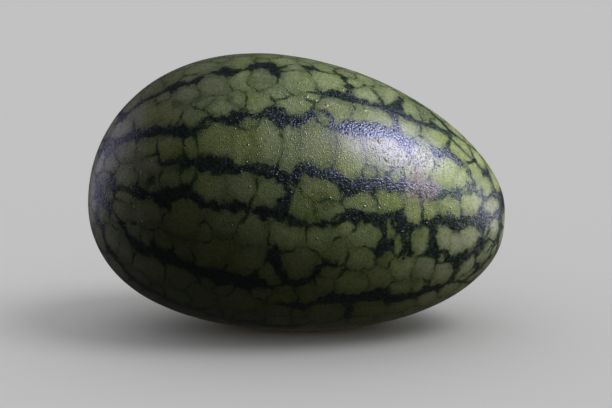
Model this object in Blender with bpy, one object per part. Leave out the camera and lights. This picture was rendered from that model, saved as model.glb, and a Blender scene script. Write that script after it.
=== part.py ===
"""A whole watermelon, egg-shaped, lying on its side on the small flat spot of its belly.

One natural piece, so one solid.  Frame: +Z up, the origin is the middle of the flat rest
spot, the broad blossom end points along -X and the narrow stem end along +X, a little lower.
Units are metres.
"""

import math

import bmesh
import bpy
from mathutils import Matrix, Vector

# ---- driving dimensions -------------------------------------------------------------------
LENGTH = 0.3028           # between the poles, before the dimples sink them
GIRTH_RADIUS = 0.0985     # section radius in the middle of the length
TAPER = -0.122            # the section shrinks towards the stem end: this makes the egg
FULLNESS = 0.039          # how full both shoulders are
TAPER_SKEW = -0.044       # how fast the narrow end closes
ARCH = 0.0081             # the sections' centres rise this much over the flatter belly
ARCH_SKEW = -0.0053       # and rise more over the broad end
LOBE_3 = 0.0040           # faint three-sided section, as a share of the radius
LOBE_2 = 0.0030           # faint oval section
LOBE_LONG = 0.0025        # slow unevenness along the length
REST_TILT = 4.5           # degrees that the narrow end hangs down when the fruit lies at rest
FLAT_DEPTH = 0.0022       # how much of the belly the flat spot takes off

STEM_DIMPLE_DEPTH = 0.0030
STEM_DIMPLE_WIDTH = 0.0130
BLOSSOM_DIMPLE_DEPTH = 0.0016
BLOSSOM_DIMPLE_WIDTH = 0.0100

AROUND = 72               # faces around the girth
ALONG = 44                # bands between the poles
POLE_CROWD = 0.55         # pulls the bands towards the poles, where the dimples are

RIND_COLOUR = (0.235, 0.330, 0.175, 1.0)
RIND_ROUGHNESS = 0.38


def section_radius(u):
    """Radius of the round section at u, which runs from -1 (blossom pole) to 1 (stem pole)."""
    return (
        GIRTH_RADIUS
        * math.sqrt(max(0.0, 1.0 - u * u))
        * (1.0 + TAPER * u + FULLNESS * u * u + TAPER_SKEW * u**3)
    )


def unevenness(u, turn):
    """Share of the radius that the skin stands in or out of the even egg."""
    side = 1.0 - u * u
    return side * (
        LOBE_3 * math.cos(3.0 * turn + 0.7 + 0.6 * u)
        + LOBE_2 * math.cos(2.0 * turn - 0.9)
        + LOBE_LONG * math.sin(4.3 * u + 1.1) * math.cos(turn + 2.2)
    )


def skin_point(theta, turn):
    """Point of the skin before the fruit is laid down.

    theta runs from 0 at the stem pole (+X) to pi at the blossom pole (-X); turn is the angle
    about the fruit's own axis, 0 on top and growing towards -Y.
    """
    u = math.cos(theta)
    r = section_radius(u) * (1.0 + unevenness(u, turn))
    x = 0.5 * LENGTH * u
    x -= STEM_DIMPLE_DEPTH * math.exp(-((r / STEM_DIMPLE_WIDTH) ** 2)) if u > 0 else 0.0
    x += BLOSSOM_DIMPLE_DEPTH * math.exp(-((r / BLOSSOM_DIMPLE_WIDTH) ** 2)) if u < 0 else 0.0
    rise = (ARCH + ARCH_SKEW * u) * (1.0 - u * u)
    return Vector((x, -r * math.sin(turn), rise + r * math.cos(turn)))


def lay_down():
    """The turn and shift that bring the fruit to rest, its lowest point just under the origin."""
    tilt = Matrix.Rotation(math.radians(REST_TILT), 4, "Y")
    low = None
    for i in range(241):
        for j in range(41):
            theta = math.radians(60.0 + 60.0 * i / 240)
            turn = math.radians(170.0 + 20.0 * j / 40)
            p = tilt @ skin_point(theta, turn)
            if low is None or p.z < low.z:
                low = p
    return Matrix.Translation(Vector((-low.x, -low.y, -low.z - FLAT_DEPTH))) @ tilt


def band_angles():
    """Polar angles of the rings between the poles, closer together near the poles."""
    angles = []
    for i in range(1, ALONG):
        even = i / ALONG
        angles.append(math.pi * (even - POLE_CROWD * math.sin(2.0 * math.pi * even) / (2.0 * math.pi)))
    return angles


def build_fruit():
    place = lay_down()
    bm = bmesh.new()
    stem = bm.verts.new(place @ skin_point(0.0, 0.0))
    rings = []
    for theta in band_angles():
        rings.append(
            [bm.verts.new(place @ skin_point(theta, 2.0 * math.pi * j / AROUND)) for j in range(AROUND)]
        )
    blossom = bm.verts.new(place @ skin_point(math.pi, 0.0))
    for j in range(AROUND):
        k = (j + 1) % AROUND
        bm.faces.new((stem, rings[0][j], rings[0][k]))
        for near, far in zip(rings, rings[1:]):
            bm.faces.new((near[j], far[j], far[k], near[k]))
        bm.faces.new((rings[-1][j], blossom, rings[-1][k]))

    # the flat spot: everything below the surface that the fruit lies on is cut off, and the
    # cut is closed with one flat face
    cut = bmesh.ops.bisect_plane(
        bm,
        geom=bm.verts[:] + bm.edges[:] + bm.faces[:],
        dist=1e-6,
        plane_co=(0.0, 0.0, 0.0),
        plane_no=(0.0, 0.0, -1.0),
        clear_outer=True,
    )
    rim = [e for e in cut["geom_cut"] if isinstance(e, bmesh.types.BMEdge)]
    bmesh.ops.contextual_create(bm, geom=rim)
    for v in bm.verts:
        if abs(v.co.z) < 2e-6:
            v.co.z = 0.0
    bmesh.ops.recalc_face_normals(bm, faces=bm.faces[:])

    mesh = bpy.data.meshes.new("watermelon")
    bm.to_mesh(mesh)
    bm.free()
    mesh.shade_smooth()
    mesh.set_sharp_from_angle(angle=math.radians(40.0))
    fruit = bpy.data.objects.new("watermelon", mesh)
    bpy.context.scene.collection.objects.link(fruit)
    return fruit


def rind_material():
    material = bpy.data.materials.new("rind")
    material.use_nodes = True
    shader = material.node_tree.nodes["Principled BSDF"]
    shader.inputs["Base Color"].default_value = RIND_COLOUR
    shader.inputs["Roughness"].default_value = RIND_ROUGHNESS
    shader.inputs["Metallic"].default_value = 0.0
    return material


def main():
    for old in list(bpy.data.objects):
        bpy.data.objects.remove(old, do_unlink=True)
    fruit = build_fruit()
    fruit.data.materials.append(rind_material())


main()
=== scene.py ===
import math

import bpy
import numpy as np
from mathutils import Matrix, Vector


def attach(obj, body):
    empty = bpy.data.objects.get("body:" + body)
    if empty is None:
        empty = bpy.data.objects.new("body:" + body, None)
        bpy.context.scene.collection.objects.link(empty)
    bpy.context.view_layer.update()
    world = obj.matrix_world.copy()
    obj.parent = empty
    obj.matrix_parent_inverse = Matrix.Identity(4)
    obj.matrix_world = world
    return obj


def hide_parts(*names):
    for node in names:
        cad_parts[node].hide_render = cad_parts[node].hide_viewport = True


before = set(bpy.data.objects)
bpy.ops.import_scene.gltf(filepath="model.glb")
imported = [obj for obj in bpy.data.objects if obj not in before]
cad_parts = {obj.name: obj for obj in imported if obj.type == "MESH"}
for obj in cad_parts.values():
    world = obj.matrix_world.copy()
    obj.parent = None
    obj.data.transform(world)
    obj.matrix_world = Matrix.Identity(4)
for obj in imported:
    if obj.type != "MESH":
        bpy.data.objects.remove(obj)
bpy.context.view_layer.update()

# ---- the fruit's form, as in part.py (metres) ------------------------------------------------
LENGTH = 0.3028
GIRTH_RADIUS = 0.0985
TAPER, FULLNESS, TAPER_SKEW = -0.122, 0.039, -0.044
ARCH, ARCH_SKEW = 0.0081, -0.0053
LOBE_3, LOBE_2, LOBE_LONG = 0.0040, 0.0030, 0.0025
REST_TILT, FLAT_DEPTH = 4.5, 0.0022
STEM_DIMPLE_DEPTH, STEM_DIMPLE_WIDTH = 0.0030, 0.0130
BLOSSOM_DIMPLE_DEPTH, BLOSSOM_DIMPLE_WIDTH = 0.0016, 0.0100
FLAT_SOFTNESS = 0.0007     # the real belly spot has no sharp rim


def section_radius(u):
    return GIRTH_RADIUS * np.sqrt(np.maximum(0.0, 1.0 - u * u)) * (
        1.0 + TAPER * u + FULLNESS * u * u + TAPER_SKEW * u**3)


def unevenness(u, turn):
    side = 1.0 - u * u
    return side * (LOBE_3 * np.cos(3.0 * turn + 0.7 + 0.6 * u)
                   + LOBE_2 * np.cos(2.0 * turn - 0.9)
                   + LOBE_LONG * np.sin(4.3 * u + 1.1) * np.cos(turn + 2.2))


def skin(u, turn, out=0.0):
    """Points of the skin in the fruit's own frame: u from -1 (blossom pole) to 1 (stem pole),
    turn about the axis in radians, 0 on top and growing towards the viewer; out lifts them."""
    u, turn = np.broadcast_arrays(np.asarray(u, float), np.asarray(turn, float))
    r = section_radius(u) * (1.0 + unevenness(u, turn))
    x = 0.5 * LENGTH * u
    x = x - np.where(u > 0, STEM_DIMPLE_DEPTH * np.exp(-((r / STEM_DIMPLE_WIDTH) ** 2)), 0.0)
    x = x + np.where(u < 0, BLOSSOM_DIMPLE_DEPTH * np.exp(-((r / BLOSSOM_DIMPLE_WIDTH) ** 2)), 0.0)
    rise = (ARCH + ARCH_SKEW * u) * (1.0 - u * u)
    return np.stack([x, -(r + out) * np.sin(turn), rise + (r + out) * np.cos(turn)], axis=-1)


def lay_down():
    tilt = np.array(Matrix.Rotation(math.radians(REST_TILT), 3, "Y"))
    th = np.radians(np.linspace(60.0, 120.0, 241))[:, None]
    tn = np.radians(np.linspace(170.0, 190.0, 41))[None, :]
    p = skin(np.cos(th), tn).reshape(-1, 3) @ tilt.T
    low = p[p[:, 2].argmin()]
    return tilt, np.array([-low[0], -low[1], -low[2] - FLAT_DEPTH])


TILT, SHIFT = lay_down()

# ---- the camera, a metre away and a little above ---------------------------------------------
# One picture width at the fruit is 612 / 417.7 fruit lengths, and the middle of the axis sits
# at (297.9, 206.5) in a 612 x 408 frame.
LENS, ELEVATION = 85.0, math.radians(9.0)
STEP = LENGTH / 417.7
DISTANCE = 612 * STEP / (36.0 / LENS)
BACK = np.array([0.0, -math.cos(ELEVATION), math.sin(ELEVATION)])
RIGHT, UP = np.array([1.0, 0.0, 0.0]), np.array([0.0, math.sin(ELEVATION), math.cos(ELEVATION)])
EYE = SHIFT + RIGHT * ((306 - 297.9) * STEP) + UP * ((206.5 - 204) * STEP) + BACK * DISTANCE


def seen(u, turn):
    """Where the camera sees a place on the skin, right and up from the middle of the axis in
    metres, and how much nearer than the axis it is."""
    w = skin(u, math.radians(turn)) @ TILT.T + SHIFT
    near = DISTANCE / float((EYE - w) @ BACK)
    w = EYE + (w - EYE) * near - SHIFT
    return np.array([w @ RIGHT, w @ UP]), near


def on_skin(u, turn, *sizes):
    """The tables below are laid out on a flat side view of the fruit. The camera stands close and
    sees the near skin larger, so this finds the place on the skin that it sees there, with the
    sizes in mm taken down to match. The far side is given on the skin itself."""
    if not -10.0 < turn < 172.0:
        return (u, turn, *sizes)
    tip = math.radians(REST_TILT)
    along = 0.5 * LENGTH * u
    down = 1.0085 * float(section_radius(u)) * math.sin(math.radians(turn) - math.pi / 2 + ELEVATION) - (
        ARCH + ARCH_SKEW * u) * (1.0 - u * u)
    want = np.array([along * math.cos(tip) - down * math.sin(tip), -along * math.sin(tip) - down * math.cos(tip)])
    q = np.array([u, turn / 60.0])
    for _ in range(30):
        here, near = seen(q[0], q[1] * 60.0)
        miss = want - here
        if np.abs(miss).max() < 2e-5:
            break
        slope = np.stack([(seen(q[0] + 1e-4, q[1] * 60.0)[0] - here) / 1e-4,
                          (seen(q[0], q[1] * 60.0 + 0.006)[0] - here) / 1e-4], axis=1)
        step = np.linalg.solve(slope.T @ slope + 2e-5 * np.eye(2), slope.T @ miss)
        q += np.clip(step, -0.05, 0.05)
        q[0] = np.clip(q[0], -0.995, 0.995)
    return (float(q[0]), float(q[1] * 60.0), *(v / near for v in sizes))


# ---- courses of the dark stripes on the side that faces the camera ---------------------------
# Each row is a course along the side view: (place along the axis from -1 to 1, turn in degrees,
# half width in mm).
STRIPES = [
    # second from the top: a wedge, then a knotted band that thins towards the stem end
    [(.05, 30, 1.1), (.09, 29, 3.2), (.13, 29, 4.6), (.19, 29, 4.2), (.25, 28, 3.4), (.30, 28, 3.0),
     (.35, 29, 3.6), (.39, 28, 4.3), (.44, 24, 5.5), (.48, 26, 3.6), (.54, 25, 2.5), (.59, 24, 2.9),
     (.64, 21, 2.9), (.68, 21, 2.9), (.72, 23, 2.5), (.77, 24, 2.2), (.81, 24, 2.2), (.86, 26, 1.8),
     (.90, 30, 1.8), (.94, 39, 1.8)],
    [(.31, 15, 1.4), (.34, 19, 1.8), (.37, 25, 2.2)],
    [(.44, 11, 2.2), (.45, 19, 3.6)],
    [(.42, 29, 2.9), (.43, 35, 2.9), (.44, 39, 3.6)],
    # third: the long upper band
    [(-.96, 23, 2.2), (-.92, 40, 2.9), (-.87, 43, 3.2), (-.80, 47, 2.9), (-.73, 49, 3.9),
     (-.67, 51, 3.2), (-.60, 52, 3.6), (-.54, 53, 2.9), (-.50, 51, 3.6), (-.46, 48, 2.9),
     (-.40, 49, 3.2), (-.34, 50, 3.6), (-.28, 48, 2.9), (-.23, 47, 3.6), (-.17, 44, 4.3),
     (-.12, 47, 4.3), (-.07, 49, 4.3), (-.02, 46, 3.6), (.03, 43, 4.3), (.08, 42, 3.6),
     (.13, 45, 3.6), (.16, 48, 2.9), (.21, 47, 5.6), (.27, 44, 6.8), (.33, 42, 7.2), (.39, 42, 7.2),
     (.45, 43, 6.4), (.50, 45, 4.8), (.53, 43, 2.6), (.58, 42, 1.4), (.62, 41, 2.9), (.66, 40, 3.6),
     (.71, 39, 4.3), (.75, 37, 4.3), (.79, 39, 3.6), (.81, 45, 2.2), (.81, 54, 2.2)],
    # fourth: starts faint, halfway along
    [(-.68, 67, 1.4), (-.61, 68, 1.4), (-.53, 70, 1.8), (-.44, 71, 3.6), (-.38, 71, 3.9),
     (-.32, 72, 2.2), (-.26, 71, 3.6), (-.20, 73, 2.9), (-.14, 73, 3.2), (-.08, 73, 3.2),
     (-.03, 75, 3.6), (.00, 70, 2.9), (.04, 69, 3.6), (.09, 70, 3.6), (.15, 71, 3.6), (.19, 74, 3.6),
     (.24, 75, 3.6), (.28, 74, 3.6), (.34, 71, 4.3), (.40, 71, 4.3), (.46, 71, 3.6), (.50, 68, 3.6),
     (.56, 68, 2.9), (.62, 69, 2.9), (.68, 68, 3.2), (.73, 65, 2.9), (.78, 58, 2.9), (.80, 52, 2.2)],
    # fifth: the long middle band, with its hanging branches
    [(-.96, 68, 1.4), (-.92, 76, 1.4), (-.86, 80, 2.5), (-.79, 83, 2.5), (-.72, 85, 3.6),
     (-.65, 86, 4.3), (-.58, 84, 4.3), (-.51, 84, 3.6), (-.44, 87, 2.9), (-.39, 89, 1.8),
     (-.33, 89, 1.8), (-.29, 88, 2.2), (-.23, 89, 1.8), (-.17, 90, 2.5), (-.11, 89, 2.5),
     (-.07, 89, 4.3), (-.02, 91, 3.2), (.04, 92, 2.2), (.10, 92, 1.8), (.15, 91, 2.2), (.20, 88, 2.9),
     (.25, 86, 4.3), (.29, 85, 5.0), (.33, 86, 5.0), (.38, 88, 4.3), (.42, 86, 3.6), (.47, 83, 4.3),
     (.51, 86, 5.0), (.55, 88, 2.9), (.59, 88, 2.9), (.64, 86, 3.6), (.68, 84, 4.3), (.74, 84, 3.6),
     (.79, 83, 3.3), (.85, 83, 3.3), (.90, 82, 3.0), (.95, 72, 2.9), (.985, 55, 2.2)],
    [(-.08, 75, 3.6), (-.07, 79, 2.5), (-.06, 84, 3.6), (-.06, 89, 4.3)],
    [(.39, 90, 3.6), (.41, 94, 3.2), (.41, 99, 3.6), (.39, 103, 2.2), (.37, 104, 1.1)],
    [(.45, 88, 2.2), (.48, 93, 2.2), (.46, 99, 1.8), (.43, 101, 2.2)],
    [(.51, 89, 4.3), (.51, 95, 3.2), (.52, 101, 4.3), (.53, 106, 3.6), (.52, 109, 1.1)],
    [(.55, 90, 2.2), (.55, 97, 2.2), (.55, 103, 2.9)],
    [(.64, 89, 2.5), (.65, 96, 2.9), (.66, 103, 3.6), (.68, 109, 2.9), (.69, 113, 1.4)],
    [(.68, 102, 2.2), (.73, 108, 4.3), (.78, 113, 3.6), (.82, 112, 2.2)],
    [(.87, 51, 3.6), (.88, 61, 2.9), (.89, 72, 2.9), (.92, 75, 2.9)],
    [(.68, 76, 1.4), (.71, 79, 2.2), (.75, 81, 2.9)],
    # sixth: the lower band of the narrow half, which climbs to meet the fifth
    [(.15, 131, 1.8), (.21, 129, 2.9), (.26, 130, 2.9), (.33, 130, 3.2), (.40, 130, 3.6),
     (.44, 128, 3.2), (.49, 132, 2.9), (.55, 135, 3.6), (.60, 135, 3.9), (.65, 133, 3.2),
     (.70, 134, 2.5), (.74, 134, 3.2), (.77, 127, 3.2), (.79, 119, 3.6), (.83, 115, 3.2),
     (.87, 111, 3.2), (.90, 105, 3.6), (.92, 96, 3.6), (.92, 85, 2.9)],
    [(.75, 134, 1.4), (.81, 134, 1.4), (.85, 134, 1.4), (.89, 128, 1.8), (.92, 121, 1.8),
     (.95, 113, 2.2), (.98, 99, 2.2)],
    [(-.09, 106, 2.9), (-.08, 111, 2.2), (-.06, 116, 2.2), (-.03, 120, 2.5), (.02, 122, 2.9),
     (.07, 119, 2.9), (.10, 116, 2.9), (.14, 111, 2.5), (.17, 109, 2.2), (.21, 110, 2.2)],
    [(.15, 131, 1.8), (.10, 135, 2.2), (.03, 135, 2.2), (-.04, 133, 2.2)],
    [(.27, 132, 1.4), (.29, 139, 1.8), (.28, 144, 1.4)],
    # the two lower bands of the broad half
    [(-.96, 89, 2.2), (-.92, 95, 2.2), (-.87, 101, 2.5), (-.83, 107, 2.2), (-.80, 113, 2.2),
     (-.77, 116, 2.9), (-.71, 116, 3.6), (-.67, 115, 3.6), (-.62, 117, 3.6), (-.55, 118, 3.6),
     (-.49, 120, 2.9), (-.43, 121, 3.6), (-.36, 121, 4.3), (-.29, 122, 3.6), (-.21, 123, 3.6),
     (-.14, 123, 2.9)],
    [(-.96, 114, 1.4), (-.92, 125, 1.8), (-.87, 136, 2.2), (-.82, 141, 2.5), (-.75, 146, 2.5),
     (-.68, 147, 2.5), (-.61, 148, 2.9), (-.55, 150, 2.9), (-.47, 151, 2.9), (-.38, 152, 2.9),
     (-.28, 154, 3.2), (-.17, 153, 3.6), (-.06, 156, 2.9), (.04, 155, 3.2)],
    # the broken top band
    [(-.95, -9, 1.4), (-.92, 7, 1.8), (-.87, 15, 2.2), (-.82, 18, 1.8), (-.76, 21, 1.4),
     (-.70, 23, 1.8), (-.65, 22, 2.2), (-.61, 23, 2.9), (-.56, 23, 1.8), (-.52, 22, 1.4)],
    [(-.41, 18, 3.6), (-.37, 20, 2.9)],
    [(-.27, 16, 2.9), (-.21, 15, 3.2), (-.17, 18, 2.9), (-.14, 23, 2.2)],
    [(.00, 13, 2.2), (.04, 13, 2.2)],
    [(.15, 13, 1.4), (.18, 17, 2.9), (.20, 21, 2.9), (.22, 26, 1.8)],
    [(.48, 3, 1.1), (.54, 1, 1.4), (.60, 4, 1.4), (.65, 8, 1.8), (.71, 11, 1.4)],
    [(.83, 23, 1.1), (.88, 25, 1.4), (.92, 35, 1.4), (.95, 45, 1.4)],
]

# The rounded pale cells on that side: (place along the axis, turn in degrees,
# half length along the axis in mm, half height about it in mm, lean in degrees)
CELLS = [
    # between the top bands
    (-.23, 27, 8.5, 11.5, 0), (-.04, 25, 12.5, 14.0, 5), (-.23, 41, 11.5, 10.5, 0),
    (-.05, 41, 12.5, 8.5, -15), (.13, 40, 13.0, 11.5, -30), (.32, 37, 16.0, 10.0, -15),
    (.09, 20, 13.0, 14.0, 15), (.28, 22, 10.0, 11.0, 40), (.40, 11, 7.0, 12.0, 10),
    (.50, 16, 6.5, 11.0, 15), (.50, 35, 8.0, 9.5, 35), (-.31, 27, 8.5, 12.5, -10),
    (-.87, 31, 13.0, 7.0, 40), (-.76, 34, 10.5, 15.0, -45), (-.65, 41, 9.5, 12.0, -40),
    (-.58, 31, 10.5, 8.5, 40), (-.45, 29, 12.0, 10.0, 40), (-.53, 47, 12.0, 7.0, 15),
    (-.40, 43, 10.5, 7.5, 10), (-.32, 39, 6.5, 7.0, -30),
    # the upper middle, where they are tall
    (-.17, 60, 10.0, 16.0, -5), (-.05, 61, 6.5, 16.5, -5), (.07, 59, 12.5, 17.0, -5),
    (.24, 61, 11.0, 16.0, 0), (.39, 56, 19.5, 15.0, -20), (.34, 65, 7.0, 6.0, -25),
    (.45, 63, 7.0, 5.0, -20), (-.75, 59, 10.5, 6.0, 25), (-.63, 62, 12.5, 9.0, 20),
    (-.42, 60, 13.5, 12.0, 25), (-.29, 62, 8.0, 13.5, -5),
    # the shoulder of the narrow half
    (.57, 45, 8.0, 12.5, 20), (.64, 30, 13.5, 9.0, -45), (.76, 25, 10.5, 11.5, 35),
    (.61, 55, 8.0, 10.5, 35), (.69, 53, 9.5, 13.0, 45), (.78, 53, 7.3, 10.5, 35),
    (.83, 38, 9.2, 7.9, -40), (.89, 43, 11.0, 7.0, -35), (.82, 68, 10.0, 7.6, -10),
    (.93, 64, 10.0, 6.2, -30), (.725, 76, 9.8, 7.4, 8), (.63, 80, 7.0, 7.0, 10),
    (.56, 82, 9.5, 7.0, 45), (.54, 75, 5.0, 3.5, -10), (.43, 78, 13.0, 8.5, -10),
    # around the hanging branches
    (.33, 96, 12.0, 9.5, 5), (.45, 94, 2.5, 5.0, -10), (.49, 101, 4.5, 8.5, -10),
    (.61, 99, 6.0, 9.5, 10), (.71, 96, 6.2, 8.0, -25), (.765, 101, 7.2, 8.8, -25),
    (.835, 97, 9.4, 8.6, 12), (.94, 93, 9.5, 6.0, 0), (.71, 111, 2.5, 5.0, -15),
    (.83, 130, 11.0, 9.4, -35), (.91, 123, 12.0, 6.5, -30), (.72, 123, 7.0, 11.0, -40),
    # the lower middle
    (.10, 78, 13.0, 8.0, -5), (.02, 86, 11.0, 9.5, -5), (.16, 86, 12.0, 7.0, -5),
    (.31, 81, 15.0, 7.0, -5), (-.04, 99, 13.0, 9.0, -5), (.11, 98, 10.0, 8.5, 0),
    (.24, 93, 6.5, 6.0, 5), (.21, 104, 5.0, 8.5, -10), (.03, 110, 11.0, 10.5, 30),
    (.33, 107, 11.5, 8.0, 5), (.28, 120, 13.5, 9.0, 10), (.42, 118, 12.5, 9.0, 20),
    (.52, 113, 10.0, 11.0, -35), (.63, 115, 8.5, 10.5, -40), (.51, 126, 9.5, 5.0, 10),
    (.39, 142, 14.0, 8.0, 10), (.52, 143, 12.0, 7.5, 10), (.65, 144, 8.0, 8.5, -15),
    # the broad end and its lower half
    (-.91, 59, 10.0, 5.5, 20), (-.84, 74, 10.5, 9.5, 15), (-.94, 69, 9.0, 6.0, 15),
    (-.84, 87, 12.0, 4.5, 5), (-.86, 98, 11.0, 7.5, -35), (-.72, 95, 15.0, 9.5, -10),
    (-.62, 77, 9.5, 6.5, 5), (-.55, 97, 15.5, 11.0, -15), (-.77, 107, 4.5, 7.0, 35),
    (-.88, 122, 8.0, 9.0, -25), (-.62, 109, 6.5, 7.0, 40), (-.68, 128, 15.0, 9.5, -15),
    (-.43, 81, 12.5, 8.5, 0), (-.28, 80, 11.5, 9.5, -5), (-.15, 81, 10.0, 9.5, -5),
    (-.34, 96, 14.5, 9.5, -10), (-.21, 98, 11.0, 11.0, 0), (-.39, 110, 13.5, 9.5, -15),
    (-.22, 112, 13.0, 10.0, -15), (-.24, 136, 15.5, 11.0, -25), (-.05, 130, 10.0, 6.5, -10),
]
# cells of that table that have grown into one lobed cell, by their places
JOINED = [
    [(.71, 96), (.765, 101), (.835, 97)], [(.63, 80), (.725, 76)], [(.83, 38), (.89, 43)],
    [(.69, 53), (.78, 53)], [(.43, 78), (.54, 75), (.56, 82)], [(-.42, 60), (-.29, 62), (-.17, 60)],
    [(-.76, 34), (-.65, 41)],
]
# soft patches where the green lies deeper, and in the lower middle patches of painted shade where the light falls off:
# (place, turn, radius in mm, strength)
DEEP_GREEN_AND_SHADE_PATCHES = [
    (-.58, 69, 13.0, .75), (-.47, 68, 9.0, .65), (-.72, 77, 10.0, 1.0), (-.52, 54, 7.0, .95),
    (-.62, 37, 5.5, .65), (-.51, 38, 5.0, .60), (-.36, 39, 5.0, .50), (-.23, 28, 6.5, .50),
    (.12, 82, 14.0, .55), (.02, 87, 13.0, .50), (-.63, 103, 12.0, .35), (.05, 27, 6.0, .35), (.42, 107, 8.0, .35),
    (.57, 12, 11.0, .70), (-.30, 205, 12.0, .60), (.25, 222, 10.0, .55), (.55, 262, 9.0, .60), (-.55, 243, 11.0, .70),
    (-.05, 281, 12.0, .60), (-.42, 318, 9.0, .70), (.32, 330, 8.0, .60), (.10, 300, 7.0, .65),
    (-.66, 345, 8.0, .55), (.62, 300, 7.0, .60), (.18, 185, 9.0, .45),
]
SPOTS = [(.365, 49.5), (.405, 57.5), (-.42, 262.0), (.30, 212.0)]     # small raised yellow spots
SPECKS = [(-.89, 40, 2.6)]                                           # a reddish speck
BEADS = [(0.002, 34.4, 1.7), (0.045, 35.6, 2.0), (0.099, 37.2, 1.9), (0.124, 30.6, 1.4),
         (0.227, 31.7, 1.5), (0.172, 23.8, 1.1), (0.284, 33.6, 1.6), (0.094, 40.6, 1.2)]       # larger beads of water
RUSSET = [(.555, 66, 8.0), (.60, 69, 10.0), (.645, 65, 6.5), (.585, 60, 5.5), (.53, 71, 5.0)]

KINDS = 4    # neighbouring cells are of different kinds, so a border is where two kinds meet


def hidden_stripes(rng):
    """The rest of the girth gets bands of the same kind, laid out by rule."""
    rows = []
    for k, turn0 in enumerate((172, 194, 213, 231, 252, 272, 291, 309, 328, 345)):
        phase, slow = rng.uniform(0, 6.28, 3), rng.uniform(2.0, 4.2, 3)
        row, gap_at = [], rng.uniform(-0.7, 0.8)
        gap_on = rng.random() < 0.55
        for u in np.arange(-0.965, 0.966, 0.055):
            if k % 2 and not -0.80 < u < 0.74:
                continue     # every second one stops short of the poles
            wander = (4.2 * math.sin(slow[0] * u + phase[0]) + 2.4 * math.sin(2.7 * slow[1] * u + phase[1])
                      + rng.normal(0, 1.1)) * math.sqrt(max(0.05, 1 - u * u))
            half = (2.9 + 1.1 * math.sin(3.1 * slow[2] * u + phase[2]) + rng.normal(0, 0.55))
            half *= 0.38 + 0.62 * math.sqrt(max(0.0, 1 - u * u))
            if gap_on and abs(u - gap_at) < 0.1:
                if len(row) > 1:
                    rows.append(row)
                row = []
                continue
            row.append((float(u), turn0 + wander, max(1.2, half)))
            if rng.random() < 0.16 and abs(u) < 0.85:
                side = rng.choice([-1, 1])
                reach = rng.uniform(6, 13)
                rows.append([(float(u), turn0 + wander, half * 0.9),
                             (float(u) + rng.normal(0, 0.012), turn0 + wander + side * reach * 0.5, half * 0.75),
                             (float(u) + rng.normal(0, 0.02), turn0 + wander + side * reach, half * 0.45)])
        if len(row) > 1:
            rows.append(row)
    return rows


def course(row, steps=3):
    """A smooth course through a row's points, on the skin, in mm, with its half widths."""
    p = np.array(row, float)
    if len(p) > 2:
        q = np.vstack([2 * p[0] - p[1], p, 2 * p[-1] - p[-2]])
        out = []
        for i in range(1, len(q) - 2):
            for t in np.arange(steps) / steps:
                out.append(0.5 * ((2 * q[i]) + (-q[i - 1] + q[i + 1]) * t
                                  + (2 * q[i - 1] - 5 * q[i] + 4 * q[i + 1] - q[i + 2]) * t**2
                                  + (-q[i - 1] + 3 * q[i] - 3 * q[i + 1] + q[i + 2]) * t**3))
        out.append(q[-2])
        p = np.array(out)
    u = np.clip(p[:, 0], -0.995, 0.995)
    return skin(u, np.radians(p[:, 1])) * 1000.0, np.maximum(p[:, 2], 0.2)


def distance_to(rows, points, reach=26.0):
    """For points sorted by x: the distance in mm to the nearest course's edge, negative inside,
    and that course's half width there."""
    best, width = np.full(len(points), reach), np.full(len(points), 3.0)
    xs = points[:, 0]
    for row in rows:
        c, w = course(row)
        for a, b, wa, wb in zip(c[:-1], c[1:], w[:-1], w[1:]):
            lo = np.searchsorted(xs, min(a[0], b[0]) - reach)
            hi = np.searchsorted(xs, max(a[0], b[0]) + reach)
            p = points[lo:hi]
            ab = b - a
            t = np.clip(((p - a) @ ab) / max(float(ab @ ab), 1e-9), 0, 1)
            w = wa + t * (wb - wa)
            d = np.linalg.norm(p - (a + t[:, None] * ab), axis=1) - w
            near = d < best[lo:hi]
            best[lo:hi][near] = d[near]
            width[lo:hi][near] = w[near]
    return best, width


def cell_frame(u, turn, lean):
    """A place on the skin in mm with its two directions: leaning from the axis, and across."""
    c = skin(u, math.radians(turn)) * 1000.0
    along = skin(min(u + 0.004, 0.999), math.radians(turn)) * 1000.0 - skin(max(u - 0.004, -0.999), math.radians(turn)) * 1000.0
    about = skin(u, math.radians(turn + 0.3)) * 1000.0 - skin(u, math.radians(turn - 0.3)) * 1000.0
    along /= np.linalg.norm(along)
    about -= along * float(about @ along)
    about /= np.linalg.norm(about)
    a = math.radians(lean)
    return c, math.cos(a) * along + math.sin(a) * about, -math.sin(a) * along + math.cos(a) * about


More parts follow.
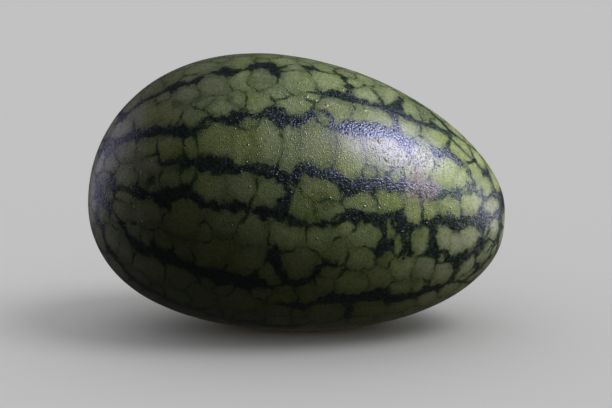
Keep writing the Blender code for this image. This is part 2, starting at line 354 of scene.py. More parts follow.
def pale_cells(points, place, edge, width, rng):
    """The rounded pale cells that crowd between the stripes, as rows of (centre, two directions,
    half length, half height, tone, kind). First the listed ones, then the filling."""
    rows = []
    for u, turn, a, b, lean in CELLS:
        fuller = 1.03 + 0.12 * min(1.0, max(0.0, (u - 0.52) / 0.16))
        u, turn, a, b = on_skin(u, turn, a, b)
        rows.append((*cell_frame(u, turn, lean), a * fuller, b * fuller))
    centre = np.zeros((6000, 3))
    size = np.zeros(6000)
    n = len(rows)
    for k, row in enumerate(rows):
        centre[k], size[k] = row[0], 0.5 * (row[3] + row[4])
    bite = rng.uniform(0.2, 1.0, len(points)) * np.minimum(1.6, 0.45 * width)
    for lowest, largest, crowd, count in ((8.5, 15.0, 0.88, 5000), (6.4, 9.5, 0.88, 9000), (5.0, 7.0, 0.88, 16000)):
        order = rng.permutation(len(points))
        free = order[(edge[order] + bite[order]) > lowest][:count]
        limit = rng.uniform(lowest, largest, len(free))
        for k, most in zip(free, limit):
            r = min(float(edge[k] + bite[k]), float(most))
            gap = np.linalg.norm(centre[:n] - points[k], axis=1) - crowd * (size[:n] + r)
            if gap.min() > 0:
                tall = rng.uniform(0.86, 1.2)
                rows.append((*cell_frame(place[k, 0], math.degrees(place[k, 1]), rng.uniform(-25, 25)), r / tall, r * tall))
                centre[n], size[n] = points[k], r
                rows[-1] = (points[k], *rows[-1][1:])
                n += 1
    centre, size = centre[:n], size[:n]
    # give each cell a kind unlike its neighbours'
    gap = np.linalg.norm(centre[:, None] - centre[None], axis=2) - size[:, None] - size[None]
    near = gap < 3.0
    np.fill_diagonal(near, False)
    number = {(row[0], row[1]): k for k, row in enumerate(CELLS)}
    lead = np.arange(n)
    for group in JOINED:     # a joined group counts as its first cell
        ks = [number[place_of] for place_of in group]
        for k in ks[1:]:
            near[ks[0]] |= near[k]
            near[:, ks[0]] |= near[:, k]
            lead[k] = ks[0]
        near[np.ix_(ks, ks)] = False
    kind = np.full(n, -1)
    degree = near.sum(axis=1)
    taken = np.zeros((n, KINDS), bool)
    left = {k for k in range(n) if lead[k] == k}
    while left:
        k = max(left, key=lambda i: (int(taken[i].sum()), int(degree[i]), -i))
        left.remove(k)
        free = [c for c in range(KINDS) if not taken[k, c]]
        if not free:     # the kind whose nearest cell is farthest away
            free = [max(range(KINDS), key=lambda c: gap[k][(kind == c)].min())]
        used = np.bincount(kind[kind >= 0], minlength=KINDS)
        kind[k] = min(free, key=lambda c: used[c])
        taken[near[k], kind[k]] = True
    kind = kind[lead]
    tone = rng.random(n)[lead]
    lobing = np.stack([rng.uniform(0, 6.28, n), rng.uniform(0, 6.28, n), rng.uniform(0, 6.28, n), rng.uniform(0.5, 1.5, n)], axis=1)
    return [(*row, t, int(c), q) for row, t, c, q in zip(rows, tone, kind, lobing)]


def cell_fields(points, cells, reach=9.0):
    """For points sorted by x: for each kind, the distance to its nearest cell's border (negative
    inside), and the tone of the nearest cell of all."""
    kinds = np.full((KINDS, len(points)), reach)
    nearest, tone = np.full(len(points), reach), np.full(len(points), 0.5)
    xs = points[:, 0]
    for c, e1, e2, a, b, t, kind, (p3, p5, p8, much) in cells:
        r = max(a, b) + reach
        lo, hi = np.searchsorted(xs, c[0] - r), np.searchsorted(xs, c[0] + r)
        off = points[lo:hi] - c
        x, y = off @ e1, off @ e2
        flat = min(a, b)
        z = off @ np.cross(e1, e2)
        k0 = np.sqrt((x / a) ** 2 + (y / b) ** 2 + (z / flat) ** 2)
        k1 = np.sqrt((x / a**2) ** 2 + (y / b**2) ** 2 + (z / flat**2) ** 2)
        turn = np.arctan2(y / b, x / a)
        lobed = 1.0 + much * (0.060 * np.sin(3 * turn + p3) + 0.040 * np.sin(5 * turn + p5) + 0.030 * np.sin(8 * turn + p8)) * np.clip(k0 * 2 - 0.6, 0, 1)
        d = np.where(k0 < 0.4, (k0 / lobed - 1.0) * flat, k0 * (k0 / lobed - 1.0) / np.maximum(k1, 1e-6))
        row, best, shade = kinds[kind, lo:hi], nearest[lo:hi], tone[lo:hi]
        np.minimum(row, d, out=row)
        closer = d < best
        best[closer] = d[closer]
        shade[closer] = t
    return kinds, tone


def spacing(r):
    """Mesh spacing in metres: fine at the scars, coarser over the body."""
    return 0.00055 + (0.00136 - 0.00055) * min(1.0, max(0.0, (r - 0.009) / 0.016))


def fruit_mesh():
    # rings from the stem pole to the blossom pole, an even distance apart along the skin
    fine = np.linspace(0.0, math.pi, 6001)
    prof = skin(np.cos(fine), np.full_like(fine, math.pi / 2))
    step = np.linalg.norm(np.diff(prof, axis=0), axis=1)
    radii = np.abs(prof[:, 1])
    angles, walked = [], 0.0
    for i, s in enumerate(step):
        walked += s
        if walked >= spacing(radii[i + 1]) * 0.93 and fine[i + 1] < math.pi - 1e-3:
            angles.append(fine[i + 1])
            walked = 0.0
    us, turns, rings = [1.0], [0.0], []
    for k, a in enumerate(angles):
        r = float(section_radius(np.array(math.cos(a))))
        n = max(8, int(round(2 * math.pi * r / spacing(r))))
        first = len(us)
        t = 2 * math.pi * (np.arange(n) + 0.5 * (k % 2)) / n
        us.extend([math.cos(a)] * n)
        turns.extend(t.tolist())
        rings.append((first, n, t[0]))
    us.append(-1.0)
    turns.append(0.0)
    u, turn = np.array(us), np.array(turns)
    tris = []
    f0, n0, _ = rings[0]
    for j in range(n0):
        tris.append((0, f0 + j, f0 + (j + 1) % n0))
    for (fa, na, ta), (fb, nb, tb) in zip(rings, rings[1:]):
        i = j = 0
        sa, sb = 2 * math.pi / na, 2 * math.pi / nb
        while i < na or j < nb:
            next_a = ta + (i + 1) * sa
            next_b = tb + (j + 1) * sb
            if j >= nb or (i < na and next_a <= next_b):
                tris.append((fa + i % na, fb + j % nb, fa + (i + 1) % na))
                i += 1
            else:
                tris.append((fa + i % na, fb + j % nb, fb + (j + 1) % nb))
                j += 1
    fl, nl, _ = rings[-1]
    last = len(u) - 1
    for j in range(nl):
        tris.append((last, fl + (j + 1) % nl, fl + j))
    return u, turn, np.array(tris, dtype=np.int32)


def smooth_noise(p, seed, octaves):
    """Sum of plane waves in seeded directions: a gentle unevenness. p in mm."""
    rng = np.random.default_rng(seed)
    total = np.zeros(len(p))
    for wave, height in octaves:
        for _ in range(7):
            d = rng.normal(size=3)
            d /= np.linalg.norm(d)
            total += height / 2.6 * np.sin(p @ d * (2 * math.pi / (wave * rng.uniform(0.8, 1.25))) + rng.uniform(0, 6.28))
    return total


def build_fruit():
    u, turn, tris = fruit_mesh()
    base = skin(u, turn)
    mm = base * 1000.0
    rng = np.random.default_rng(41)
    bend = np.stack([smooth_noise(mm, 20 + k, [(24.0, 0.9), (9.5, 0.65), (5.0, 0.4)]) for k in range(3)], axis=1)
    bent = mm + bend
    order = np.argsort(bent[:, 0], kind="stable")
    back = np.empty_like(order)
    back[order] = np.arange(len(order))
    drawn = [[on_skin(*place) for place in row] for row in STRIPES]
    edge, width = distance_to(drawn + hidden_stripes(rng), bent[order])
    place = np.stack([u, turn], axis=1)
    cells = pale_cells(bent[order], place[order], edge, width, rng)
    kinds, tone = cell_fields(bent[order], cells)
    kinds, tone = kinds[:, back], tone[back]
    dark, slim = edge[back], width[back]

    # outward direction, from the form itself
    eps = 1e-4
    un = np.clip(u, -0.9995, 0.9995)
    du = skin(np.clip(un + eps, -1, 1), turn) - skin(np.clip(un - eps, -1, 1), turn)
    dt = skin(un, turn + eps) - skin(un, turn - eps)
    nrm = np.cross(dt, du)
    ln = np.linalg.norm(nrm, axis=1)
    ln[ln < 1e-12] = 1.0
    nrm /= ln[:, None]
    out = np.sum(nrm * (base - np.array([0, 0, 0.004])), axis=1)
    nrm[out < 0] *= -1
    nrm[0], nrm[-1] = (1, 0, 0), (-1, 0, 0)

    # scars: radius from each pole, in mm
    off = np.hypot(base[:, 1], base[:, 2]) * 1000.0
    stem = np.where(u > 0, off, 99.0)
    blossom = np.where(u < 0, off, 99.0)
    ang = np.arctan2(base[:, 1], base[:, 2])
    wob = 1 + 0.10 * np.sin(3 * ang + 1.0) + 0.06 * np.sin(7 * ang + 0.3)
    rough = smooth_noise(mm, 7, [(3.2, 1.0), (1.6, 0.6)])
    lift = 0.16 * smooth_noise(mm, 3, [(62.0, 1.0)]) + 0.05 * smooth_noise(mm, 4, [(24.0, 1.0)])
    s = stem / wob
    lift += 0.75 * np.exp(-((s - 5.2) / 1.25) ** 2) * (1 + 0.25 * rough)       # corky rim
    lift += -1.3 * np.exp(-(s / 3.3) ** 4)                                    # the pit where the stalk broke off
    lift += 0.45 * np.exp(-(s / 1.5) ** 2) * (1 + 0.4 * rough)                  # its woody core
    b = blossom / wob
    lift += 0.38 * np.exp(-((b - 4.3) / 1.0) ** 2) * (1 + 0.3 * rough)
    lift += -0.5 * np.exp(-(b / 2.8) ** 4)
    lift += 0.25 * np.exp(-(b / 0.9) ** 2)

    p = base + nrm * (lift / 1000.0)[:, None]
    world = p @ TILT.T + SHIFT
    z = world[:, 2]
    soft = 0.5 * (z + np.sqrt(z * z + FLAT_SOFTNESS**2))
    world[:, 2] = soft - soft.min()

    mesh = bpy.data.meshes.new("watermelon_skin")
    mesh.vertices.add(len(world))
    mesh.vertices.foreach_set("co", world.astype(np.float32).ravel())
    mesh.loops.add(len(tris) * 3)
    mesh.loops.foreach_set("vertex_index", tris.ravel())
    mesh.polygons.add(len(tris))
    mesh.polygons.foreach_set("loop_start", np.arange(0, len(tris) * 3, 3, dtype=np.int32))
    mesh.update(calc_edges=True)
    mesh.validate()
    mesh.shade_smooth()

    def from_places(places):
        """Distance in mm to the nearest of the places, less its radius where it has one."""
        d = np.full(len(mm), 60.0)
        for q in places:
            q = on_skin(*q)
            c = skin(q[0], math.radians(q[1])) * 1000.0
            d = np.minimum(d, np.linalg.norm(mm - c, axis=1) - (q[2] if len(q) > 2 else 0.0))
        return d

    # towards the ends the cells stand apart, with dark gaps all round them
    def smooth(v, a, b):
        t = np.clip((v - a) / (b - a), 0.0, 1.0)
        return t * t * (3 - 2 * t)
    web = 0.8 * smooth(u, 0.62, 0.82) + 0.55 * smooth(-u, 0.78, 0.92)

    # deeper green of the skin, and in the lower middle painted shade
    deep_green_and_shade = np.zeros(len(mm))
    for pu, pt, r, strength in DEEP_GREEN_AND_SHADE_PATCHES:
        pu, pt, r = on_skin(pu, pt, r)
        c = skin(pu, math.radians(pt)) * 1000.0
        deep_green_and_shade = np.maximum(deep_green_and_shade, strength * np.exp(-(np.linalg.norm(bent - c, axis=1) / (0.75 * r)) ** 2))
    for name, values in (("dark", dark), ("slim", slim), ("tone", tone), ("stem", stem), ("blossom", blossom),
                         ("scuff", from_places(RUSSET)), ("speck", from_places(SPECKS)), ("spot", from_places(SPOTS)),
                         ("deep_green_and_shade", deep_green_and_shade), ("web", web), *((f"kind_{k}", kinds[k]) for k in range(KINDS))):
        layer = mesh.attributes.new(name, "FLOAT", "POINT")
        layer.data.foreach_set("value", values.astype(np.float32))
    layer = mesh.attributes.new("fruit", "FLOAT_VECTOR", "POINT")
    layer.data.foreach_set("vector", mm.astype(np.float32).ravel())
    obj = bpy.data.objects.new("watermelon_skin", mesh)
    bpy.context.scene.collection.objects.link(obj)
    return obj


# ---- material -------------------------------------------------------------------------------
class Graph:
    """Short names for the shader nodes used here."""

    def __init__(self, material):
        material.use_nodes = True
        self.tree = material.node_tree
        self.shader = self.tree.nodes["Principled BSDF"]

    def put(self, socket, value):
        if isinstance(value, bpy.types.NodeSocket):
            self.tree.links.new(value, socket)
        elif value is not None:
            socket.default_value = value

    def attr(self, name, kind="Fac"):
        n = self.tree.nodes.new("ShaderNodeAttribute")
        n.attribute_name = name
        return n.outputs[kind]

    def math(self, op, a, b=None, c=None, clamp=False):
        n = self.tree.nodes.new("ShaderNodeMath")
        n.operation, n.use_clamp = op, clamp
        for s, v in zip(n.inputs, (a, b, c)):
            self.put(s, v)
        return n.outputs[0]

    def vec(self, op, a, b=None, scale=None):
        n = self.tree.nodes.new("ShaderNodeVectorMath")
        n.operation = op
        self.put(n.inputs[0], a)
        if b is not None:
            self.put(n.inputs[1], b)
        if scale is not None:
            self.put(n.inputs["Scale"], scale)
        return n.outputs["Value"] if op in ("DOT_PRODUCT", "LENGTH", "DISTANCE") else n.outputs[0]

    def noise(self, co, scale, detail=2.0, rough=0.5, kind="Fac"):
        n = self.tree.nodes.new("ShaderNodeTexNoise")
        self.put(n.inputs["Vector"], co)
        n.inputs["Scale"].default_value = scale
        n.inputs["Detail"].default_value = detail
        n.inputs["Roughness"].default_value = rough
        return n.outputs[kind]

    def cells(self, co, scale, feature="F1", kind="Distance", randomness=1.0):
        n = self.tree.nodes.new("ShaderNodeTexVoronoi")
        n.feature = feature
        self.put(n.inputs["Vector"], co)
        n.inputs["Scale"].default_value = scale
        n.inputs["Randomness"].default_value = randomness
        return n.outputs[kind]

    def ramp(self, value, a, b, lo=0.0, hi=1.0, smooth=True):
        n = self.tree.nodes.new("ShaderNodeMapRange")
        n.interpolation_type = "SMOOTHSTEP" if smooth else "LINEAR"
        n.clamp = True
        for name, v in (("Value", value), ("From Min", a), ("From Max", b), ("To Min", lo), ("To Max", hi)):
            self.put(n.inputs[name], v)
        return n.outputs[0]

    def mix(self, fac, a, b, blend="MIX"):
        n = self.tree.nodes.new("ShaderNodeMix")
        n.data_type, n.blend_type = "RGBA", blend
        self.put(n.inputs[0], fac)
        for s, v in ((n.inputs[6], a), (n.inputs[7], b)):
            self.put(s, v if isinstance(v, bpy.types.NodeSocket) else (*v, 1.0))
        return n.outputs[2]

    def drops(self, co, scale):
        """Scattered points: the distance to the nearest, and its own random number."""
        n = self.tree.nodes.new("ShaderNodeTexVoronoi")
        self.put(n.inputs["Vector"], co)
        n.inputs["Scale"].default_value = scale
        return n.outputs["Distance"], self.split(n.outputs["Color"])[0]

    def split(self, colour):
        n = self.tree.nodes.new("ShaderNodeSeparateColor")
        self.tree.links.new(colour, n.inputs[0])
        return [n.outputs[0], n.outputs[1], n.outputs[2]]

    def shade(self, colour, factor):
        """Multiplies a colour by a number."""
        return self.vec("SCALE", colour, scale=factor)


def rind_material():
    m = bpy.data.materials.new("rind")
    g = Graph(m)
    co = g.attr("fruit", "Vector")                       # mm, in the fruit's own frame
    dark = g.attr("dark")
    slim, tone = g.attr("slim"), g.attr("tone")
    kinds = [g.attr(f"kind_{k}") for k in range(KINDS)]

    # every border wanders a little, each kind of cell in its own way
    wander = g.noise(co, 0.40, 3.0, 0.6, "Color")
    ragged = g.math("SUBTRACT", g.noise(co, 0.62, 3.0, 0.65), 0.5)
    parts = g.split(wander)
    parts.append(g.math("SUBTRACT", 1.0, g.math("ADD", g.math("MULTIPLY", parts[0], 0.5), g.math("MULTIPLY", parts[1], 0.5))))
    a, b, c, d = (g.math("ADD", k, g.math("MULTIPLY", g.math("SUBTRACT", p, 0.5), 3.0)) for k, p in zip(kinds, parts))
    low_1, high_1 = g.math("MINIMUM", a, b), g.math("MAXIMUM", a, b)
    low_2, high_2 = g.math("MINIMUM", c, d), g.math("MAXIMUM", c, d)
    first = g.math("MINIMUM", low_1, low_2)
    second = g.math("MINIMUM", g.math("MAXIMUM", low_1, low_2), g.math("MINIMUM", high_1, high_2))
    seam = g.math("MULTIPLY", g.math("SUBTRACT", second, first), 0.5)

    # a stripe is what the pale cells leave free along its course: its edge is lobed, and it runs
    # out in notches between the cells; its core runs through wherever it is wide enough
    patchy = g.noise(co, 0.055, 2.0, 0.5)
    web = g.attr("web")
    reach = g.math("ADD", g.math("MULTIPLY", slim, 0.15), g.ramp(patchy, 0.35, 0.68, -0.4, 2.6))
    reach = g.math("ADD", reach, g.math("MULTIPLY", web, 9.0))
    lobed = g.math("MAXIMUM", g.math("SUBTRACT", dark, reach), g.math("MULTIPLY", first, -1.0))
    core = g.math("ADD", dark, g.math("MULTIPLY", slim, 0.40))
    field = g.math("MINIMUM", lobed, core)
    field = g.math("ADD", field, g.math("MULTIPLY", ragged, 4.2))
    stripe = g.ramp(field, -1.0, 1.0, 1.0, 0.0)

    # thin veins between the cells, fading away from the stripes
    thick = g.math("MULTIPLY", g.ramp(dark, 1.0, 13.0, 0.95, 0.36, smooth=False), g.ramp(patchy, 0.34, 0.64, 0.55, 1.20))
    thick = g.math("ADD", thick, g.math("MULTIPLY", web, 0.40))
    broken = g.noise(co, 0.13, 3.0, 0.6)
    thick = g.math("MULTIPLY", thick, g.ramp(broken, 0.34, 0.66, 0.30, 1.75))
    line = g.ramp(g.math("SUBTRACT", g.math("ADD", seam, g.math("MULTIPLY", ragged, 1.5)), thick), -0.45, 0.50, 1.0, 0.0)
    veins = g.math("MULTIPLY", line, g.ramp(thick, 0.05, 0.70, 0.42, 0.95))
    veins = g.math("MULTIPLY", veins, g.math("MAXIMUM", g.ramp(broken, 0.38, 0.56, 0.30, 1.0), g.math("MINIMUM", web, 1.0)))

    # pale ground
    broad = g.noise(co, 0.016, 2.0, 0.5)
    sage, olive, milky = (0.254, 0.304, 0.140), (0.224, 0.275, 0.078), (0.328, 0.366, 0.212)
    ground = g.mix(g.ramp(broad, 0.36, 0.64), sage, olive)
    ground = g.mix(g.math("MULTIPLY", g.ramp(g.noise(co, 0.06, 3.0, 0.6), 0.45, 0.75), 0.45), ground, milky)
    ground = g.mix(g.math("MULTIPLY", g.math("MINIMUM", web, 1.0), 0.55), ground, (0.325, 0.358, 0.190))
    height = g.vec("DOT_PRODUCT", g.tree.nodes.new("ShaderNodeTexCoord").outputs["Object"], (0.0, 0.0, 1000.0))
    along = g.vec("DOT_PRODUCT", co, (1.0, 0.0, 0.0))
    # painted shade: the ground is darkened towards the bottom, standing in for the light falling off there
    ground = g.shade(ground, g.ramp(height, 45.0, 115.0, 0.80, 1.0))
    # painted sheen: a cool grey cast mixed into the ground at the lower narrow end and at the broad end, standing in
    # for the cool side light that shines there
    painted_grey_sheen = g.math("MAXIMUM", g.math("MULTIPLY", g.ramp(along, 58.0, 100.0), g.ramp(height, 55.0, 120.0, 0.62, 0.0)),
                   g.ramp(along, -92.0, -128.0, 0.0, 0.16))
    ground = g.mix(painted_grey_sheen, ground, (0.345, 0.356, 0.275))
    ground = g.shade(ground, g.ramp(tone, 0.0, 1.0, 0.88, 1.10, smooth=False))
    depth = g.math("MINIMUM", g.math("MULTIPLY", first, -1.0), g.math("MULTIPLY", seam, 1.6))
    ground = g.shade(ground, g.ramp(depth, 0.0, 5.0, 0.84, 1.06))
    halo = g.math("MULTIPLY", g.ramp(field, 0.0, 4.0, 1.0, 0.0), g.ramp(ragged, -0.25, 0.25, 0.85, 0.35))
    ground = g.mix(g.math("MULTIPLY", halo, 0.75), ground, (0.098, 0.150, 0.046))
    ground = g.mix(g.math("MULTIPLY", g.ramp(seam, 0.0, 2.2, 1.0, 0.0), g.ramp(dark, 3.0, 12.0, 0.52, 0.26)), ground, (0.105, 0.160, 0.048))
    soft = g.noise(co, 0.045, 3.0, 0.65)
    ground = g.mix(g.math("MULTIPLY", g.ramp(soft, 0.56, 0.74), 0.40), ground, (0.115, 0.185, 0.052))
    # deeper green patches, partly painted shade in the lower middle
    deep_green_and_shade = g.math("MULTIPLY", g.attr("deep_green_and_shade"), g.ramp(g.noise(co, 0.22, 4.0, 0.7), 0.34, 0.60, 0.25, 1.1))
    ground = g.mix(deep_green_and_shade, ground, (0.030, 0.058, 0.018))
    grain = g.noise(co, 0.42, 4.0, 0.85)
    ground = g.shade(ground, g.ramp(grain, 0.34, 0.66, 0.74, 1.26, smooth=False))
    green_vein = g.mix(g.ramp(g.math("SUBTRACT", dark, g.math("MULTIPLY", web, 8.0)), 0.5, 6.5), (0.012, 0.030, 0.014), (0.034, 0.082, 0.016))
    ground = g.mix(veins, ground, green_vein)

    # dark stripe with its lace of paler specks
    lace = g.noise(co, 0.36, 4.0, 0.8)
    lace = g.math("MULTIPLY", g.ramp(lace, 0.465, 0.565), g.ramp(field, -3.4, -0.3, 0.62, 1.0))
    mott = g.noise(co, 0.33, 3.0, 0.65)
    band = g.mix(g.ramp(mott, 0.35, 0.7), (0.006, 0.013, 0.009), (0.018, 0.032, 0.021))
    pale_lace = g.mix(g.math("MINIMUM", web, 1.0), (0.056, 0.074, 0.050), (0.175, 0.190, 0.155))
    band = g.mix(g.math("MULTIPLY", lace, 0.85), band, pale_lace)
    colour = g.mix(stripe, ground, band)

    # the belly that lay on the ground stayed pale
    belly = g.ramp(g.math("ADD", height, g.math("MULTIPLY", g.noise(co, 0.05, 3.0, 0.6), 16.0)), 11.0, 21.0, 1.0, 0.0)
    colour = g.mix(g.math("MULTIPLY", belly, 0.8), colour, (0.56, 0.47, 0.20))

    # russet scuff, a reddish speck and the small yellow spots with their green rings
    sc = g.math("ADD", g.attr("scuff"), g.math("MULTIPLY", g.math("SUBTRACT", g.noise(co, 0.16, 4.0, 0.65), 0.5), 13.0))
    scuff = g.math("MULTIPLY", g.ramp(sc, -3.0, 2.5, 1.0, 0.0), g.ramp(g.noise(co, 0.42, 4.0, 0.7), 0.38, 0.62, 0.10, 1.0))
    colour = g.mix(g.math("MULTIPLY", scuff, 0.80), colour, (0.34, 0.270, 0.225))
    sp = g.math("ADD", g.attr("speck"), g.math("MULTIPLY", g.math("SUBTRACT", g.noise(co, 0.5, 3.0, 0.6), 0.5), 5.0))
    colour = g.mix(g.math("MULTIPLY", g.ramp(sp, -1.2, 0.8, 1.0, 0.0), 0.8), colour, (0.105, 0.038, 0.032))
    spot = g.math("ADD", g.attr("spot"), g.math("MULTIPLY", ragged, 1.5))
    colour = g.mix(g.ramp(spot, 1.6, 2.4, 0.75, 0.0), colour, (0.075, 0.105, 0.022))
    colour = g.mix(g.ramp(spot, 0.7, 1.5, 0.85, 0.0), colour, (0.42, 0.40, 0.13))

    # scars at the two ends
    stem, blossom = g.attr("stem"), g.attr("blossom")
    rim_noise = g.math("MULTIPLY", g.math("SUBTRACT", g.noise(co, 0.6, 3.0, 0.6), 0.5), 3.0)
    cork = g.math("MAXIMUM", g.ramp(g.math("ADD", stem, rim_noise), 5.6, 7.4, 1.0, 0.0),
                  g.ramp(g.math("ADD", blossom, rim_noise), 4.4, 6.0, 1.0, 0.0))
    cork_colour = g.mix(g.noise(co, 1.1, 4.0, 0.7), (0.080, 0.062, 0.040), (0.30, 0.25, 0.17))
    colour = g.mix(cork, colour, cork_colour)
    g.put(g.shader.inputs["Base Color"], colour)

    # fine moisture: small domes, thicker in some places, mostly on the upper half
    upper = g.ramp(height, 50.0, 125.0)
    damp = g.math("MULTIPLY", upper, g.math("MAXIMUM", g.ramp(g.noise(co, 0.022, 3.0, 0.6), 0.34, 0.56, 0.45, 1.0), g.math("MULTIPLY", stripe, 0.85)))
    fine_at, fine_no = g.drops(g.vec("ADD", co, g.vec("SCALE", wander, scale=0.5)), 0.80)
    fine_drop = g.math("MULTIPLY", g.ramp(fine_at, 0.10, 0.44, 1.0, 0.0), g.ramp(g.math("SUBTRACT", g.math("MULTIPLY", damp, 1.0), fine_no), -0.02, 0.02))
    big_at, big_no = g.drops(co, 0.30)
    big_drop = g.math("MULTIPLY", g.ramp(big_at, 0.06, 0.30, 1.0, 0.0), g.ramp(g.math("SUBTRACT", g.math("MULTIPLY", damp, 0.12), big_no), -0.01, 0.01))
    beads = None
    for u, turn, r in [on_skin(*place) for place in BEADS]:
        away = g.math("DIVIDE", g.vec("DISTANCE", co, tuple(skin(u, math.radians(turn)) * 1000.0)), r)
        beads = away if beads is None else g.math("MINIMUM", beads, away)
    bead = g.ramp(beads, 0.15, 1.0, 1.0, 0.0)
    wet = g.math("MAXIMUM", g.math("MULTIPLY", fine_drop, 0.8), g.math("MAXIMUM", big_drop, bead))

    # satin wax, a little drier on the pale ground, and the cork dull
    rough = g.ramp(g.noise(co, 0.30, 3.0, 0.6), 0.3, 0.7, 0.25, 0.35, smooth=False)
    rough = g.math("ADD", rough, g.math("MULTIPLY", g.math("SUBTRACT", grain, 0.5), 0.20))
    rough = g.math("ADD", rough, g.math("MULTIPLY", scuff, 0.15))
    rough = g.math("SUBTRACT", rough, g.math("MULTIPLY", stripe, 0.10))
    rough = g.math("SUBTRACT", rough, g.math("MULTIPLY", g.ramp(wet, 0.0, 0.4), 0.24))
    rough = g.math("ADD", rough, g.math("MULTIPLY", cork, 0.35), clamp=True)
    g.put(g.shader.inputs["Roughness"], rough)

    # skin grain, a faint step at the stripes, the drops, and the cork's roughness
    fine = g.math("MULTIPLY", g.noise(co, 0.90, 3.0, 0.6), g.ramp(stripe, 0.0, 1.0, 0.14, 0.26))
    fine = g.math("ADD", fine, g.math("MULTIPLY", g.math("MULTIPLY", g.math("SUBTRACT", g.noise(co, 0.66, 1.0, 0.5), 0.5), stripe), 0.40))
    pores = g.math("MULTIPLY", g.ramp(g.cells(co, 0.62, "F1", "Distance", 1.0), 0.0, 0.42, 1.0, 0.0), 0.015)
    step = g.math("MULTIPLY", g.math("MAXIMUM", stripe, veins), -0.03)
    crust = g.math("MULTIPLY", g.math("MULTIPLY", cork, g.noise(co, 1.6, 4.0, 0.7)), 0.35)
    relief = g.math("ADD", g.math("ADD", fine, pores), g.math("ADD", step, crust))
    relief = g.math("ADD", relief, g.math("ADD", g.math("MULTIPLY", fine_drop, 0.16), g.math("MULTIPLY", big_drop, 0.42)))
    relief = g.math("ADD", relief, g.ramp(g.attr("spot"), 0.0, 2.2, 0.35, 0.0))
    relief = g.math("ADD", relief, g.math("MULTIPLY", bead, 0.45))
    bump = g.tree.nodes.new("ShaderNodeBump")
    bump.inputs["Strength"].default_value = 1.0
    bump.inputs["Distance"].default_value = 0.001       # heights above are in mm
    g.put(bump.inputs["Height"], relief)
    g.put(g.shader.inputs["Normal"], bump.outputs["Normal"])
    g.shader.inputs["Metallic"].default_value = 0.0
    g.put(g.shader.inputs["Specular IOR Level"], g.ramp(stripe, 0.0, 1.0, 0.90, 1.20))
    g.shader.inputs["Sheen Weight"].default_value = 0.04
    g.shader.inputs["Sheen Roughness"].default_value = 0.45
    g.shader.inputs["Sheen Tint"].default_value = (0.84, 0.84, 1.0, 1.0)
    g.put(g.shader.inputs["Specular Tint"], g.mix(stripe, (0.86, 0.79, 1.0), (0.82, 0.87, 1.0)))
    return m


# ---- stage ----------------------------------------------------------------------------------
FLOOR, SOFT_SUN, LOW_SUN, AMBIENT = 0.72, 1.56, 0.6, 0.03


def plain_material(name, colour, roughness):
    m = bpy.data.materials.new(name)
    m.use_nodes = True
    s = m.node_tree.nodes["Principled BSDF"]
    s.inputs["Base Color"].default_value = (*colour, 1.0)
    s.inputs["Roughness"].default_value = roughness
    return m


def make_stage():
    mesh = bpy.data.meshes.new("floor")
    e = 30.0
    mesh.from_pydata([(-e, -e, -0.0002), (e, -e, -0.0002), (e, e, -0.0002), (-e, e, -0.0002)], [], [(0, 1, 2, 3)])
    mesh.materials.append(plain_material("floor", (FLOOR,) * 3, 0.9))
    floor = bpy.data.objects.new("floor", mesh)
    bpy.context.scene.collection.objects.link(floor)
    floor.visible_diffuse = floor.visible_glossy = False     # the pale floor puts no light on the fruit
    # a plain wall all round, as bright as the floor in front of it
    n, r, h = 96, 11.0, 7.0
    ring = [(r * math.cos(2 * math.pi * k / n), r * math.sin(2 * math.pi * k / n)) for k in range(n)]
    mesh = bpy.data.meshes.new("backdrop")
    mesh.from_pydata([(x, y, -0.01) for x, y in ring] + [(x, y, h) for x, y in ring], [],
                     [(k, n + k, n + (k + 1) % n, (k + 1) % n) for k in range(n)])
    wall = plain_material("backdrop", (0.0, 0.0, 0.0), 1.0)
    shader = wall.node_tree.nodes["Principled BSDF"]
    shader.inputs["Specular IOR Level"].default_value = 0.0
    shader.inputs["Emission Color"].default_value = (1.0, 1.0, 1.0, 1.0)
    shader.inputs["Emission Strength"].default_value = FLOOR * ((SOFT_SUN + 0.8 * LOW_SUN) / math.pi + AMBIENT)
    mesh.materials.append(wall)
    backdrop = bpy.data.objects.new("backdrop", mesh)
    bpy.context.scene.collection.objects.link(backdrop)
    backdrop.visible_diffuse = backdrop.visible_glossy = backdrop.visible_shadow = False
    world = bpy.context.scene.world or bpy.data.worlds.new("studio")
    bpy.context.scene.world = world
    world.use_nodes = True
    view = bpy.context.scene.view_settings
    view.view_transform, view.exposure, view.gamma = "Standard", 0.25, 0.86
    back = world.node_tree.nodes.get("Background")
    back.inputs["Color"].default_value = (1.0, 1.0, 1.0, 1.0)
    back.inputs["Strength"].default_value = AMBIENT
    return floor


def only_on(lamps, objects, name):
    """These lamps light only these objects."""
    group = bpy.data.collections.new(name)
    for o in objects:
        group.objects.link(o)
    for lamp in lamps:
        lamp.light_linking.receiver_collection = group


def sun(name, towards, strength, angle):
    light = bpy.data.lights.new(name, "SUN")
    light.energy, light.angle = strength, math.radians(angle)
    lamp = bpy.data.objects.new(name, light)
    lamp.rotation_mode = "QUATERNION"
    lamp.rotation_quaternion = Vector(towards).normalized().to_track_quat("Z", "Y")
    bpy.context.scene.collection.objects.link(lamp)
    return lamp


def softbox(name, towards, distance, size, watts, colour, target):
    light = bpy.data.lights.new(name, "AREA")
    light.shape = "RECTANGLE"
    light.size, light.size_y = size
    light.energy, light.color = watts, colour
    lamp = bpy.data.objects.new(name, light)
    lamp.visible_camera = False
    d = Vector(towards).normalized()
    lamp.location = Vector(target) + d * distance
    lamp.rotation_mode = "QUATERNION"
    lamp.rotation_quaternion = d.to_track_quat("Z", "Y")
    bpy.context.scene.collection.objects.link(lamp)
    return lamp


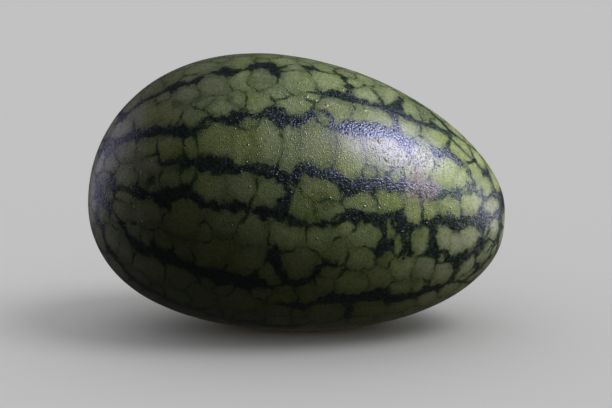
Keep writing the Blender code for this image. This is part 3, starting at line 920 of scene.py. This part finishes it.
def make_lights(target, fruit, floor):
    # the key's mirror image falls on the shoulder of the narrow half, seen from the camera
    shoulder = Vector(skin(0.39, math.radians(52.0)) @ TILT.T + SHIFT)
    glossy = [
        softbox("key", (0.69, -0.20, 0.695), 0.45, (0.34, 0.25), 2.7, (0.78, 0.74, 1.0), shoulder),
        softbox("side", (0.92, -0.06, 0.385), 1.0, (0.5, 0.5), 1.2, (0.84, 1.0, 0.70), target),
        softbox("left_edge", (-0.80, 0.56, 0.14), 1.3, (0.6, 0.9), 1.3, (0.80, 0.76, 1.0), target),
        softbox("right_edge", (0.94, 0.26, 0.05), 1.4, (0.5, 0.6), 2.6, (0.82, 0.78, 1.0), target),
    ]
    matt = [
        softbox("side_low", (0.97, -0.22, 0.0), 1.0, (0.5, 0.5), 2.8, (1.0, 0.97, 0.66), target),
        softbox("left", (-0.88, 0.19, 0.33), 1.2, (0.6, 0.8), 5.6, (0.70, 0.60, 1.0), target),
        softbox("front_soft", (0.60, -0.78, 0.02), 1.4, (0.8, 0.6), 0.8, (1.0, 0.95, 0.48), target),
        softbox("back_soft", (-0.05, 0.98, 0.22), 1.8, (1.4, 0.9), 5.5, (1.0, 1.0, 0.94), target),
    ]
    for lamp in matt:
        lamp.visible_glossy = False     # these fill without a second shine
    on_fruit = glossy + matt
    on_floor = [sun("soft", (0.0, 0.0, 1.0), SOFT_SUN, 170.0), sun("low", (0.55, -0.20, 0.80), LOW_SUN, 30.0)]
    only_on(on_fruit, [fruit], "lit_fruit")
    only_on(on_floor, [floor], "lit_floor")


def make_camera():
    cam = bpy.data.cameras.new("camera")
    cam.sensor_width = 36.0
    cam.sensor_fit = "AUTO"
    cam.lens = LENS
    obj = bpy.data.objects.new("camera", cam)
    bpy.context.scene.collection.objects.link(obj)
    bpy.context.scene.camera = obj
    obj.location = EYE
    obj.rotation_mode = "QUATERNION"
    obj.rotation_quaternion = Vector(BACK).to_track_quat("Z", "Y")
    cam.clip_start, cam.clip_end = 0.05, 200.0


def fruit_point(u):
    """A point of the straight line through the poles, in the scene."""
    return Vector(np.array([0.5 * LENGTH * u, 0.0, 0.0]) @ TILT.T + SHIFT)


fruit = build_fruit()
fruit.data.materials.append(rind_material())
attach(fruit, "root")
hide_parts("watermelon")
floor = make_stage()
make_lights(fruit_point(0.0), fruit, floor)
make_camera()
